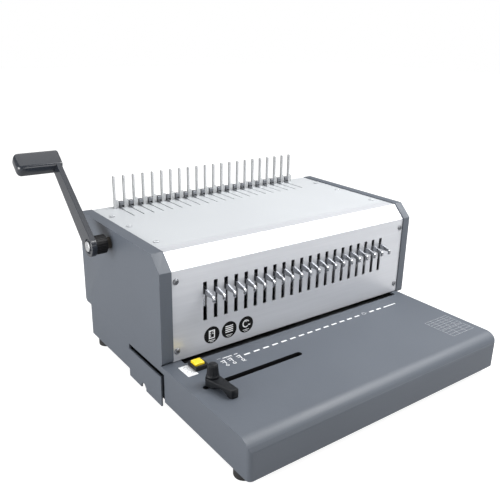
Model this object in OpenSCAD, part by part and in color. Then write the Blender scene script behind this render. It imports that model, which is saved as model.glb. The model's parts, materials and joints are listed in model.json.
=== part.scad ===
// Electric comb binding machine: a punch in front, a comb opener on top.
// Machine coordinates: X = 0 is the middle slot, Y = 0 the front plate's face, Z = 0 the table.

/* [Comb] */
// Distance between neighbouring holes
pitch = 14.2875; // [12:0.0125:15]
// Number of punched holes
hole_count = 21; // [5:1:21]
// Length of a punched hole along the paper's edge
hole_w = 8; // [5:0.5:9]
// Width of a punched hole across the paper's edge
hole_t = 2.8; // [2:0.1:3.5]

/* [Body] */
// Width between the two side panels
body_w = 372; // [360:1:420]
// Depth from the front plate to the rear panel
body_d = 216; // [214:1:240]
// Height of the body above the base's deck
body_h = 127.6; // [124:0.2:150]
// Thickness of the sheet metal
sheet_t = 1.5; // [1:0.1:2]
// Run of the bevel between front plate and cover
bevel = 17; // [10:1:20]
// Depth of the front plate's top flange
seam_y = 34.5; // [30:0.5:48]
// Thickness of the left side panel
left_panel_t = 15; // [12:1:20]
// Thickness of the right side panel
right_panel_t = 12; // [10:1:20]
// Wall of the side panels
panel_wall = 3; // [2:0.5:4]
// Corner radius of the side panels
panel_r = 5; // [4:0.5:8]
// How far the panels stand proud of the cover and the front plate
panel_proud = 1.5; // [1:0.5:3]
// Thickness of the steel side frames
frame_t = 10; // [8:1:12]

/* [Base] */
// Reach of the base in front of the front plate
base_front = 168; // [150:1:180]
// Reach of the base behind the front plate
base_rear = 205; // [195:1:214]
// Height of the base's wall
base_h = 43.5; // [42:0.5:50]
// Wall of the base housing
base_wall = 2.5; // [2:0.5:3]
// How far the base stops short of the right panel's face
base_step = 11; // [9:1:12]
// Corner radius of the base, seen from above
base_r = 5.5; // [4:0.5:8]
// Run of the sloping nose
nose_run = 16; // [10:1:20]
// Drop of the sloping nose
nose_drop = 12.8; // [8:0.1:16]
// Height of a rubber foot
foot_h = 10.5; // [8:0.5:14]
// Radius of a rubber foot
foot_r = 11; // [8:0.5:13]
// Distance from a foot's axis to the base's side
foot_side = 12; // [12:1:20]
// Distance from a foot's axis to the base's end
foot_end = 24; // [14:1:30]

/* [Punch] */
// Height of the gap that takes the paper
throat_h = 4.5; // [4.3:0.1:6]
// How far the die's face lies under the deck
die_drop = 3.6; // [3:0.1:4]
// Depth of the throat's mouth in front of the plate
throat_mouth = 9; // [6:1:12]
// Thickness of the die block
die_h = 9; // [6:0.5:9]
// Thickness of the punch guide
guide_h = 20; // [12:1:24]
// Depth of die, guide and toes behind the front plate
tool_d = 24; // [21:1:26]
// Distance from the front plate's face to the row of pins
pin_y = 14; // [11:0.5:16]
// Stroke of the ram
stroke = 16; // [12:0.5:16]
// Height of the ram
ram_h = 24; // [20:1:24]
// Depth of the ram
ram_d = 15.5; // [14:0.5:16]
// Height of the ram's underside above the deck, at rest
ram_rise = 58; // [54:1:60]
// Thickness of a pull tab
pull_t = 2.5; // [1.5:0.1:3]
// Height of a pull tab
pull_h = 7.5; // [5:0.5:8]
// How far a pull tab stands out of the front plate
pull_out = 18; // [12:1:22]
// Width of a slot in the front plate
slot_w = 5.4; // [4:0.1:6]
// Height of a slot in the front plate
slot_h = 48; // [40:1:50]
// Corner radius of a slot
slot_r = 1; // [0.5:0.1:2]
// Height of a slot's foot above the deck
slot_rise = 41.5; // [38:0.5:44]

/* [Drive] */
// Radius of the eccentric shaft
drive_shaft_r = 8; // [6:0.5:9]
// Radius of an eccentric
cam_r = 12; // [11:0.5:12]
// Thickness of an eccentric and of its yoke
cam_t = 10; // [6:1:12]
// Distance of the yokes from the middle
cam_x = 150; // [140:1:155]
// Depth of the eccentric shaft behind the front plate
drive_y = 48; // [47:0.5:50]
// Module of the drive gears
drive_module = 1.5; // [1.5:0.25:1.5]
// Teeth on the drive gear
gear_teeth = 34; // [30:2:34]
// Teeth on the motor pinion
pinion_teeth = 16; // [14:2:18]
// Width of the drive gears
gear_t = 12; // [8:1:14]
// Radius of the motor
motor_r = 25; // [20:1:26]
// Length of the motor
motor_l = 115; // [80:1:130]

/* [Opener] */
// Depth of the opener shaft below the cover
opener_drop = 16.6; // [16:0.1:17.6]
// Depth of the opener shaft behind the front plate
opener_y = 125; // [120:1:128]
// Radius of the opener shaft
opener_r = 6; // [5:0.5:7]
// Pitch radius of the opener pinions
rack_r = 11; // [10:0.5:11]
// Travel of the hooks
hook_travel = 20; // [12:1:22]
// Distance from the fingers' front faces to the back
finger_back = 11; // [9:1:14]
// Height of the fingers above the cover
finger_h = 44; // [30:1:50]
// Width of a finger
finger_w = 2.8; // [2:0.1:3.2]
// Thickness of a finger
finger_t = 4; // [3:0.5:5]
// Height of a finger's broad foot above the cover
finger_foot_h = 11; // [6:0.5:14]
// Width of a hook's head
head_w = 6.4; // [6:0.1:7]
// Height of a hook's head above the cover
head_h = 8.4; // [6:0.2:12]
// Length of the slots that the hooks slide in
hook_slot_l = 39; // [34:1:42]

/* [Lever] */
// Distance from the lever's pivot to the middle of its grip
lever_reach = 132; // [100:1:150]
// Angle of the lever at rest, above the horizontal
lever_angle = 39.5; // [30:0.5:60]
// Thickness of the lever's arm
arm_t = 6.5; // [5:0.5:10]
// Width of the lever's arm at the grip
arm_w = 18; // [12:1:20]
// Radius of the lever's hub
hub_r = 13; // [11:0.5:15]
// Gap between the left panel and the lever's arm
arm_gap = 20.5; // [14:0.5:30]
// Length of the grip
grip_l = 47; // [30:1:90]
// Depth of the grip along the arm
grip_d = 26; // [18:1:32]
// Radius of the grip's edges
grip_r = 5; // [2:0.5:7]

/* [Paper guide] */
// Travel of the paper guide
guide_travel = 120; // [60:5:200]
// Distance of the guide's groove in front of the front plate
groove_y = 64; // [50:1:90]
// Width of the groove
groove_w = 8; // [6:0.5:10]
// Distance of the clamping knob from the middle, at rest
knob_x = 174; // [165:0.5:178]
// Radius of the clamping knob's foot
knob_r = 7.2; // [6:0.2:9]
// Height of the clamping knob
knob_h = 15.5; // [10:0.5:20]
// Height of the paper guide
fence_h = 10; // [7:0.5:14]
// Length of the paper guide in front of its knob
fence_l = 34; // [25:1:60]

/* [Waste drawer] */
// Depth of the drawer's face, front to back
drawer_w = 82; // [70:1:90]
// Height of the drawer's face
drawer_h = 38; // [34:0.5:38]
// How far the face hangs under the base
drawer_hang = 6.5; // [3:0.5:7]
// Length of the drawer
drawer_l = 358; // [340:1:365]

/* [Button] */
// Width of the button's housing
button_w = 16.5; // [15:0.5:18]
// Depth of the button's housing
button_d = 18; // [16:0.5:24]
// Height of the button's housing
button_h = 5.5; // [5:0.5:8]
// Width of the yellow pad
pad_w = 12; // [9:0.5:12.5]
// Depth of the yellow pad
pad_d = 11.5; // [8:0.5:12.5]
// Travel of the button
button_travel = 2; // [1:0.5:2.5]

/* [Hidden] */
$fn = 64;
// Clearances: between sliding parts, round a shaft, round a screw, and what stays visibly apart
slide_gap = 0.2;
shaft_gap = 0.05;
screw_gap = 0.2;
part_gap = 0.3;
screw_r = 1.9;
screw_head_r = 3.6;
screw_head_h = 1.8;
pan_t = 2;
ledge_w = 12;
ledge_h = 4;
// Levels of the base and the body
z_deck = foot_h + base_h;
z_pan = foot_h + pan_t;
z_top = z_deck + body_h;
z_under = z_top - sheet_t;
z_die = z_deck - die_drop;
z_toe = z_die - die_h;
z_guide = z_die + throat_h;
// Sides
x_in = body_w / 2;
x_left = -x_in - left_panel_t;
x_right = x_in + right_panel_t;
x_frame = x_in - frame_t;
x_base = x_right - base_step;
y_back = body_d - sheet_t;
y_tool = sheet_t + tool_d;
panel_skirt = 3;
// Punch and drive
z_ram = z_deck + ram_rise;
ram_side = 3;
ram_y = 3;
z_pull = z_ram + ram_h - pull_h - 0.5;
pin_reach = z_ram - z_guide - 5;
cam_e = stroke / 2;
drive_z = z_ram + ram_h / 2;
yoke_play = 1.9;
yoke_wall = 8;
yoke_t = cam_t - 1;
yoke_half = cam_e + cam_r + 2 * slide_gap;
gear_x = cam_x - cam_t / 2 - 15 - gear_t;
motor_y = drive_y + drive_module * (gear_teeth + pinion_teeth) / 2;
motor_x = gear_x - 4;
motor_shaft_r = 4;
// Opener
opener_z = z_top - opener_drop;
bush_wall = 3;
bush_out = 6;
rack_module = rack_r / 10;
rack_t = 7;
rack_drop = z_under - 0.6;
finger_y = body_d - finger_back;
slide_h = 12;
slide_z = z_under - slide_h - 10;
slide_y1 = finger_y - 2;
slide_y0 = slide_y1 - 13;
hook_y1 = finger_y - 4;
hook_t = 1.2;
hook_l = 4.3;
head_l = 7;
head_y = finger_y - 1;
foot_w = pitch - head_w - 4 * part_gap;
// Lever
arm_x = x_left - arm_gap - arm_t;
grip_x = arm_x - grip_l;
// Waste drawer
drawer_y = -2;
drawer_face_t = 2.2;
drawer_wall = 2;
drawer_inset = 3;
drawer_margin = 3.5;
z_bin = z_pan + 1.7;
bin_h = z_toe - 1.2 - z_bin;
// Paper guide
stud_r = 2.2;
groove_end = -knob_x + guide_travel;
nut_w = groove_w + 5;
nut_h = 4;
// Button
button_x = x_left + 26;
button_y = -32;
pad_x = button_x + 1.3;
pad_y = button_y + 3.3;
// Inlet and switch module in the rear panel
inlet_x = 110;
inlet_z = z_deck + 18;
inlet_w = 30;
inlet_h = 50;
inlet_d = 22;

function hole_x(i) = (i - (hole_count - 1) / 2) * pitch;
// Left edge of a finger, and left edge of the hook head that rests beside it
function finger_x(j) = hole_x(j - 1) + part_gap / 2;
function hook_x(i) = hole_x(i) - part_gap / 2 - head_w;
function two(i) = i < 9 ? str("0", i + 1) : str(i + 1);
pull_names = [for (i = [0 : hole_count - 1]) str("pull_", two(i))];

// The part's origin: middle of its outer box, on the table
grip_back = opener_y + lever_reach * cos(lever_angle) + grip_r
    + (grip_d / 2 - grip_r) * cos(lever_angle) + (arm_w / 2 - grip_r) * sin(lever_angle);
module place() {
    translate([-(grip_x + x_right) / 2, -(grip_back - base_front) / 2, 0]) children();
}

// Extrudes an outline drawn in Y and Z along X, or one drawn in X and Z along Y
module along_x(x0, x1) { translate([x0, 0, 0]) rotate([90, 0, 90]) linear_extrude(x1 - x0) children(); }
module along_y(y0, y1) { translate([0, y1, 0]) rotate([90, 0, 0]) linear_extrude(y1 - y0) children(); }
module rod_x(x0, x1, y, z, r) { translate([x0, y, z]) rotate([0, 90, 0]) cylinder(h = x1 - x0, r = r); }
module rod_y(y0, y1, x, z, r) { translate([x, y1, z]) rotate([90, 0, 0]) cylinder(h = y1 - y0, r = r); }
module rod_z(z0, z1, x, y, r) { translate([x, y, z0]) cylinder(h = z1 - z0, r = r); }
module block(a, b) { translate(a) cube(b - a); }
module rounded(a, b, r) {
    translate([a[0] + r, a[1]]) square([b[0] - a[0] - 2 * r, b[1] - a[1]]);
    translate([a[0], a[1] + r]) square([b[0] - a[0], b[1] - a[1] - 2 * r]);
    for (x = [a[0] + r, b[0] - r], y = [a[1] + r, b[1] - r]) translate([x, y]) circle(r);
}
module both_sides() { for (s = [-1, 1]) scale([s, 1, 1]) children(); }

// Side view of the base, set in by a wall: flat deck and a nose that rolls down to the front face
nose_r = (nose_run * nose_run + nose_drop * nose_drop) / (2 * nose_drop);
module base_side(inset) {
    y0 = inset - base_front;
    y_nose = nose_run - base_front;
    r = nose_r - inset;
    z_ridge = z_deck - nose_r + sqrt(r * r - pow(nose_run - inset, 2));
    translate([y_nose, foot_h]) square([base_rear - inset - y_nose, base_h - inset]);
    translate([y0, foot_h]) square([y_nose - y0, z_ridge - foot_h]);
    intersection() {
        translate([y_nose, z_deck - nose_r]) circle(r, $fn = 128);
        translate([y0, foot_h]) square([y_nose - y0, base_h]);
    }
}
module base_solid(inset) {
    intersection() {
        along_x(x_left + inset, x_base - inset) base_side(inset);
        linear_extrude(z_deck + 1)
            rounded([x_left + inset, inset - base_front], [x_base - inset, base_rear - inset],
                base_r - inset);
    }
}
foot_spots = [for (x = [x_left + foot_side, x_base - foot_side],
    y = [foot_end - base_front, base_rear - foot_end]) [x, y]];

module base_cover() {
    color("#737b87") place() difference() {
        base_solid(0);
        translate([0, 0, -0.01]) base_solid(base_wall);
        block([-x_frame, -throat_mouth, z_toe], [x_frame, y_tool + part_gap, z_deck + 1]);
        block([-x_in - part_gap, sheet_t - part_gap, z_toe],
            [x_in + part_gap, y_tool + part_gap, z_deck + 1]);
        groove(z_deck - base_wall - 1, z_deck + 1);
        block([x_left - 1, drawer_y - drawer_margin, 0],
            [x_left + base_wall + 1, drawer_y + drawer_w + drawer_margin,
                foot_h + drawer_h - drawer_hang + 4]);
    }
}
module groove(z0, z1) {
    x0 = -knob_x - groove_w;
    block([x0, -groove_y - groove_w / 2, z0], [groove_end, -groove_y + groove_w / 2, z1]);
    for (x = [x0, groove_end]) rod_z(z0, z1, x, -groove_y, groove_w / 2);
}

module base_pan() {
    rail_x = x_left + drawer_l;
    gap = base_wall + part_gap;
    rail_y = [drawer_y + drawer_inset, drawer_y + drawer_w - drawer_inset];
    color("#4a4e55") place() difference() {
        union() {
            translate([0, 0, foot_h]) linear_extrude(pan_t)
                rounded([x_left + gap, gap - base_front], [x_base - gap, base_rear - gap],
                    base_r - base_wall);
            for (s = [0, 1]) {
                y = rail_y[s];
                out = s == 0 ? -1 : 1;
                block([x_left + gap, min(y, y - out * 4), z_pan - 1],
                    [rail_x, max(y, y - out * 4), z_bin - slide_gap]);
                block([x_left + gap, min(y + out * part_gap, y + out * 2.3), z_pan - 1],
                    [rail_x, max(y + out * part_gap, y + out * 2.3), z_bin + 8]);
            }
        }
        for (p = foot_spots) rod_z(0, z_pan + 1, p[0], p[1], screw_r + screw_gap);
    }
}

module rubber_feet() {
    color("#1b1b1d") place() for (p = foot_spots) difference() {
        rod_z(0, foot_h, p[0], p[1], foot_r);
        rod_z(-1, foot_h + 1, p[0], p[1], screw_r + screw_gap);
        rod_z(-1, foot_h / 2, p[0], p[1], screw_head_r + 1);
    }
}

// Places and directions of the screws in the cover and in the front plate
cover_screw_y = [seam_y + 18, opener_y - 2, finger_y - 32];
cover_screw_x = x_in - 11;
plate_screw_z = [z_deck + 13, z_top - bevel - 12.6];
plate_screw_x = x_in - 5.5;
screw_l = 10;
module machine_screws() {
    color("#d9dbde") place() {
        for (p = foot_spots) {
            rod_z(foot_h / 2 - screw_head_h, foot_h / 2, p[0], p[1], screw_head_r);
            rod_z(foot_h / 2, z_pan + 2, p[0], p[1], screw_r);
        }
        both_sides() {
            for (y = cover_screw_y) {
                rod_z(z_top, z_top + screw_head_h, cover_screw_x, y, screw_head_r);
                rod_z(z_top - 5, z_top, cover_screw_x, y, screw_r);
            }
            for (z = plate_screw_z) {
                rod_y(-screw_head_h, 0, plate_screw_x, z, screw_head_r);
                rod_y(0, screw_l, plate_screw_x, z, screw_r);
            }
        }
    }
}
module screw_holes() {
    both_sides() {
        for (y = cover_screw_y) rod_z(z_top - 8, z_top + 1, cover_screw_x, y, screw_r + screw_gap);
        for (z = plate_screw_z) rod_y(-1, screw_l + 2, plate_screw_x, z, screw_r + screw_gap);
    }
}

// Side view of a panel, set in by a wall: the body's own outline, standing proud of it, with round corners
module panel_side(inset, z0) {
    p = panel_proud - inset;
    intersection() {
        rounded([-p, z0 + inset], [body_d + p, z_top + p], panel_r - inset / 2);
        body_side(-p, body_d + p + 1, z0);
    }
}
module side_panel(x0, x1, z0, inner) {
    w = panel_wall;
    difference() {
        along_x(x0, x1) panel_side(0, z0);
        along_x(inner > 0 ? x0 + w : x0 - 1, inner > 0 ? x1 + 1 : x1 - w) panel_side(w, z0);
    }
}
module left_side_panel() {
    color("#70767f") place() difference() {
        side_panel(x_left, -x_in, z_deck, 1);
        rod_x(x_left - 1, -x_in, opener_y, opener_z, opener_r + 1 + slide_gap);
    }
}
// The right panel's skirt hangs down beside the base, whose edge it clears
module right_side_panel() {
    color("#70767f") place() difference() {
        side_panel(x_in, x_right, z_deck - panel_skirt, -1);
        block([x_in - 1, -body_d, 0], [x_base + slide_gap, 2 * body_d, z_deck + part_gap]);
    }
}

// Side view of the front sheet: upright, bevel, top flange; set in by a distance from its outer face
module body_side(inset, y_end, z0) {
    k = inset * (sqrt(2) - 1);
    polygon([[inset, z0], [inset, z_top - bevel - k], [bevel + k, z_top - inset], [y_end, z_top - inset],
        [y_end, z0]]);
}
module slot_shape() {
    z0 = z_deck + slot_rise;
    rounded([-slot_w / 2, z0], [slot_w / 2, z0 + slot_h], slot_r);
}
module front_plate() {
    color("#b9bdc4") place() difference() {
        along_x(-x_in, x_in) difference() {
            body_side(0, seam_y, z_guide);
            body_side(sheet_t, seam_y + 1, z_guide - 1);
        }
        for (i = [0 : hole_count - 1]) translate([hole_x(i), 0, 0]) along_y(-1, sheet_t + 1) slot_shape();
        screw_holes();
    }
}
module top_cover() {
    slot = hook_t + 3 * slide_gap;
    color("#dfe2e6") place() difference() {
        block([-x_in, seam_y, z_under], [x_in, body_d, z_top]);
        for (i = [0 : hole_count - 1])
            translate([hook_x(i) + hook_t / 2 - slot / 2, hook_y1 - hook_slot_l, z_under - 1])
                cube([slot, hook_slot_l, sheet_t + 2]);
        for (j = [0 : hole_count]) translate([finger_x(j), finger_y, 0])
            block([-slide_gap, -slide_gap, z_under - 1],
                [foot_w + slide_gap, finger_t + slide_gap, z_top + 1]);
        screw_holes();
    }
}
module rear_panel() {
    color("#70767f") place() difference() {
        block([-x_in, y_back, z_deck], [x_in, body_d, z_under]);
        block([inlet_x - slide_gap, y_back - 1, inlet_z - slide_gap],
            [inlet_x + inlet_w + slide_gap, body_d + 1, inlet_z + inlet_h + slide_gap]);
    }
}

// Frame on the right-hand side; the left one is its mirror image
module frame() {
    difference() {
        union() {
            along_x(x_frame, x_in) difference() {
                body_side(sheet_t, y_back, z_deck);
                for (p = [[drive_y, drive_z, drive_shaft_r], [opener_y, opener_z, opener_r]])
                    translate([p[0], p[1]]) circle(p[2] + bush_wall);
            }
            block([x_frame, sheet_t, z_toe], [x_in, y_tool, z_deck]);
            block([x_frame - ledge_w, seam_y, z_under - ledge_h], [x_frame, y_back, z_under]);
            block([x_frame - ledge_w - ledge_h, slide_y0 - hook_travel - 10, slide_z - slide_gap - ledge_h],
                [x_frame, finger_y + finger_t, slide_z - slide_gap]);
        }
        screw_holes();
    }
}
module right_frame() { color("#8d9299") place() frame(); }
module left_frame() { color("#8d9299") place() mirror([1, 0, 0]) frame(); }

// The holes that the pins pass through, in the die and in the guide
module pin_holes(z0, z1) {
    for (i = [0 : hole_count - 1])
        block([hole_x(i) - hole_w / 2 - slide_gap, pin_y - hole_t / 2 - slide_gap, z0],
            [hole_x(i) + hole_w / 2 + slide_gap, pin_y + hole_t / 2 + slide_gap, z1]);
}
module die_block() {
    color("#6e7278") place() difference() {
        block([-x_frame, part_gap - throat_mouth, z_toe], [x_frame, y_tool, z_die]);
        pin_holes(z_toe - 1, z_die + 1);
    }
}
module punch_guide() {
    color("#6e7278") place() difference() {
        block([-x_frame, sheet_t, z_guide], [x_frame, y_tool, z_guide + guide_h]);
        pin_holes(z_guide - 1, z_guide + guide_h + 1);
    }
}
module punch_pins() {
    color("#c9ccd0") place() for (i = [0 : hole_count - 1])
        block([hole_x(i) - hole_w / 2, pin_y - hole_t / 2, z_ram - pin_reach],
            [hole_x(i) + hole_w / 2, pin_y + hole_t / 2, z_ram]);
}
module punch_ram() {
    z_cam = drive_z + cam_e;
    yoke_h = cam_r + yoke_play;
    color("#c3c6cb") place() difference() {
        union() {
            block([-x_frame + ram_side, ram_y, z_ram], [x_frame - ram_side, ram_y + ram_d, z_ram + ram_h]);
            for (s = [-1, 1]) along_x(s * cam_x - yoke_t / 2, s * cam_x + yoke_t / 2) difference() {
                union() {
                    translate([ram_y, z_ram]) square([drive_y - yoke_half - ram_y, ram_h]);
                    translate([drive_y - yoke_half - yoke_wall, z_cam - yoke_h - yoke_wall])
                        square([2 * (yoke_half + yoke_wall), 2 * (yoke_h + yoke_wall)]);
                }
                translate([drive_y - yoke_half, z_cam - yoke_h]) square([2 * yoke_half, 2 * yoke_h]);
            }
        }
        for (i = [0 : hole_count - 1]) translate([hole_x(i), 0, 0])
            block([-pull_t / 2 - slide_gap, 0, z_pull - slide_gap],
                [pull_t / 2 + slide_gap, ram_y + ram_d + 1, z_ram + ram_h + 1]);
    }
}
// Side view of a pull tab: a flat strip that drops towards a curled front end
module pull_side() {
    y0 = -pull_out;
    curl = pull_t / 2;
    polygon([[ram_y + ram_d - 2, z_pull], [ram_y + ram_d - 2, z_pull + pull_h], [-2, z_pull + pull_h],
        [y0 + 6, z_pull + pull_h - 2.5], [y0, z_pull + pull_h - 4.5], [y0 - curl, z_pull + pull_h - 7],
        [y0 - curl / 2, z_pull - 3], [y0 + curl, z_pull - 3.4], [y0 + 2 * curl, z_pull - 1],
        [y0 + 7, z_pull - 0.5], [-2, z_pull]]);
}
module pull(i) {
    color("#c9ccd0") place() translate([hole_x(i), 0, 0]) along_x(-pull_t / 2, pull_t / 2) pull_side();
}

// Crankshaft: the shaft stops at each eccentric and the disc carries it on
module eccentric_shaft() {
    end = x_in - slide_gap;
    stops = [-end, -cam_x - cam_t / 2, cam_t / 2 - cam_x, cam_x - cam_t / 2, cam_x + cam_t / 2, end];
    color("#9a9ea5") place() {
        for (k = [0 : 2 : 4]) rod_x(stops[k], stops[k + 1], drive_y, drive_z, drive_shaft_r);
        for (x = [-cam_x, cam_x])
            rod_x(x - cam_t / 2, x + cam_t / 2, drive_y, drive_z + cam_e, cam_r);
    }
}
// Spur gear outline, centred on its axis, with a tooth at the given angle
module gear_2d(teeth, m, bore, phase) {
    r0 = m * (teeth / 2 - 1.2);
    r1 = m * (teeth / 2 + 0.8);
    step = 360 / teeth;
    difference() {
        polygon([for (k = [0 : teeth - 1], c = [[r0, -0.27], [r1, -0.12], [r1, 0.12], [r0, 0.27]])
            let (a = phase + (k + c[1]) * step) [c[0] * cos(a), c[0] * sin(a)]]);
        circle(bore);
    }
}
module drive_gear() {
    color("#a3a08c") place() translate([0, drive_y, drive_z]) along_x(gear_x, gear_x + gear_t)
        gear_2d(gear_teeth, drive_module, drive_shaft_r + shaft_gap, 0);
}
module motor_pinion() {
    color("#a3a08c") place() {
        translate([0, motor_y, drive_z]) along_x(gear_x, gear_x + gear_t)
            gear_2d(pinion_teeth, drive_module, motor_shaft_r - 1, 180 + 180 / pinion_teeth);
        rod_x(motor_x - 10, gear_x + gear_t + 2, motor_y, drive_z, motor_shaft_r);
    }
}
module motor() {
    foot_half = motor_r * 0.8;
    color("#3a3d42") place() difference() {
        union() {
            rod_x(motor_x - motor_l, motor_x, motor_y, drive_z, motor_r);
            block([motor_x - motor_l + 12, motor_y - foot_half, z_deck],
                [motor_x - 12, motor_y + foot_half, drive_z - motor_r / 2]);
        }
        rod_x(motor_x - 11, motor_x + 1, motor_y, drive_z, motor_shaft_r + shaft_gap);
    }
}
board_w = 120;
board_d = 48;
board_t = 1.6;
board_rise = 8;
board_post_r = 3;
module control_board() {
    color("#2d6a45") place() translate([board_rise + 4 - x_frame, body_d - board_d - 23, z_deck]) {
        translate([0, 0, board_rise]) cube([board_w, board_d, board_t]);
        for (x = [2, board_w / board_post_r - 2], y = [2, board_d / board_post_r - 2])
            rod_z(0, board_rise, x * board_post_r, y * board_post_r, board_post_r);
        // Blocks of the board: place, footprint and height as shares of the board's width
        for (p = [[0.1, 0.1, 0.18, 0.17, 0.13], [0.37, 0.08, 0.1, 0.1, 0.2], [0.53, 0.12, 0.25, 0.08, 0.07],
            [0.55, 0.25, 0.12, 0.07, 0.1], [0.8, 0.12, 0.12, 0.18, 0.08]])
            translate([p[0] * board_w, p[1] * board_w, board_rise + board_t])
            cube([p[2] * board_w, p[3] * board_w, p[4] * board_w]);
    }
}
// Inlet below, window for the rocker above
rocker_w = 13;
rocker_h = 19;
rocker_x = inlet_x + inlet_w / 2;
rocker_z = inlet_z + inlet_h - 13;
rocker_y = body_d - 1.5;
rocker_pin_r = 1.6;
rocker_pin_l = 2;
rocker_tilt = 8;
module power_inlet() {
    c = rocker_x;
    color("#1c1d1f") place() difference() {
        union() {
            block([inlet_x, body_d - inlet_d, inlet_z], [inlet_x + inlet_w, body_d, inlet_z + inlet_h]);
            block([inlet_x - 2, body_d, inlet_z - 2],
                [inlet_x + inlet_w + 2, body_d + 2, inlet_z + inlet_h + 2]);
        }
        difference() {
            block([c - 12, body_d - 15, inlet_z + 4], [c + 12, body_d + 3, inlet_z + 20]);
            for (x = [-7, 0, 7]) translate([c + x - 1, body_d - 16, inlet_z + (x == 0 ? 13 : 8)])
                cube([2, 14, 3]);
        }
        block([c - rocker_w / 2 - part_gap, body_d - 10, rocker_z - rocker_h / 2 - 1],
            [c + rocker_w / 2 + part_gap, body_d + 3, rocker_z + rocker_h / 2 + 1]);
        rod_x(c - rocker_w / 2 - rocker_pin_l - slide_gap, c + rocker_w / 2 + rocker_pin_l + slide_gap,
            rocker_y, rocker_z, rocker_pin_r + shaft_gap);
    }
}
// Rocker at rest: its lower half stands out, its upper half is pressed in
module power_switch() {
    h = rocker_h / 2 - 1;
    w = rocker_w / 2;
    color("#a61f1c") place() translate([rocker_x, rocker_y, rocker_z]) {
        along_x(-w, w) rotate(rocker_tilt)
            polygon([[-5.5, -4], [-0.5, -h], [4.1, -h], [2.7, 0], [4.1, h], [-0.5, h], [-5.5, 4]]);
        rod_x(-w - rocker_pin_l, w + rocker_pin_l, 0, 0, rocker_pin_r);
    }
}

module comb_fingers() {
    bar_top = z_under - ledge_h - slide_gap;
    r = finger_w / 2;
    color("#c8cbd0") place() along_y(finger_y, finger_y + finger_t) {
        translate([-x_frame, bar_top - 14]) square([2 * x_frame, 14]);
        for (j = [0 : hole_count]) translate([finger_x(j), 0]) {
            translate([0, bar_top - 1]) square([finger_w, z_top + finger_h - r - bar_top + 1]);
            translate([r, z_top + finger_h - r]) circle(r);
            translate([0, bar_top - 1]) square([foot_w, z_top + finger_foot_h - bar_top + 1]);
        }
    }
}
// Toothed racks that the opener pinions drive, on a bar that runs along the frames' ledges
module hook_slide() {
    p = PI * rack_module;
    pitch_line = opener_z + rack_r;
    root = pitch_line + 1.25 * rack_module;
    tip = pitch_line - 0.8 * rack_module;
    y0 = opener_y - 2.5 * p;
    teeth = ceil((hook_travel + 8) / p) + 2;
    color("#9a9ea5") place() {
        block([-x_frame + 6, slide_y0, slide_z], [x_frame - 6, slide_y1, slide_z + slide_h]);
        for (x = rack_x) {
            block([x - rack_t / 2, slide_y0, slide_z + slide_h - 1], [x + rack_t / 2, slide_y1, rack_drop]);
            along_x(x - rack_t / 2, x + rack_t / 2) {
                translate([y0, root]) square([slide_y1 - y0, rack_drop - root]);
                for (k = [0 : teeth - 1]) translate([opener_y + (k - 1.5) * p, 0])
                    polygon([[-0.27 * p, root + 0.1], [-0.12 * p, tip], [0.12 * p, tip],
                        [0.27 * p, root + 0.1]]);
            }
        }
    }
}
rack_x = [for (i = [1, hole_count - 2]) hook_x(i) + hook_t / 2 + pitch / 2];

// Hook blades rise through the cover's slots and bend back over it
hook_xs = [for (i = [0 : hole_count - 1]) hook_x(i)];
module hook_side(grow) {
    y0 = hook_y1 - slide_gap - hook_l;
    translate([y0, slide_z + slide_h]) square([hook_l, z_top + 3 - slide_z - slide_h + grow]);
    translate([y0, z_top + 0.4 - grow]) square([head_y + head_l - 1.5 - y0 + grow, 2.6 + 2 * grow]);
}
module comb_hooks() {
    color("#9a9ea5") place() for (x = hook_xs) along_x(x, x + hook_t) hook_side(0);
}
module hook_heads() {
    color("#17181a") place() for (x = hook_xs) difference() {
        along_x(x, x + head_w) rounded([head_y, z_top + 0.4], [head_y + head_l, z_top + head_h], 1.2);
        along_x(x - 1, x + hook_t + 0.05) hook_side(0.05);
    }
}
module opener_shaft() {
    color("#9a9ea5") place() difference() {
        rod_x(arm_x + 2.7, x_in - slide_gap, opener_y, opener_z, opener_r);
        rod_x(arm_x, arm_x + 20, opener_y, opener_z, 3);
    }
}
module opener_pinions() {
    teeth = 2 * rack_r / rack_module;
    color("#a3a08c") place() for (x = rack_x) translate([0, opener_y, opener_z])
        along_x(x - rack_t / 2, x + rack_t / 2) gear_2d(teeth, rack_module, opener_r + shaft_gap, 90);
}
module shaft_bushes() {
    color("#b08d4a") place() {
        for (x = [-x_in, x_frame]) bush(x, x + frame_t, drive_y, drive_z, drive_shaft_r);
        bush(x_frame, x_in, opener_y, opener_z, opener_r);
        difference() {
            union() {
                rod_x(-x_in, -x_frame, opener_y, opener_z, opener_r + bush_wall);
                rod_x(x_left - bush_out, -x_in, opener_y, opener_z, opener_r + 1);
            }
            rod_x(x_left - bush_out - 1, 0, opener_y, opener_z, opener_r + shaft_gap);
        }
    }
}
module bush(x0, x1, y, z, r) {
    difference() {
        rod_x(x0, x1, y, z, r + bush_wall);
        rod_x(x0 - 1, x1 + 1, y, z, r + shaft_gap);
    }
}

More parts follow.
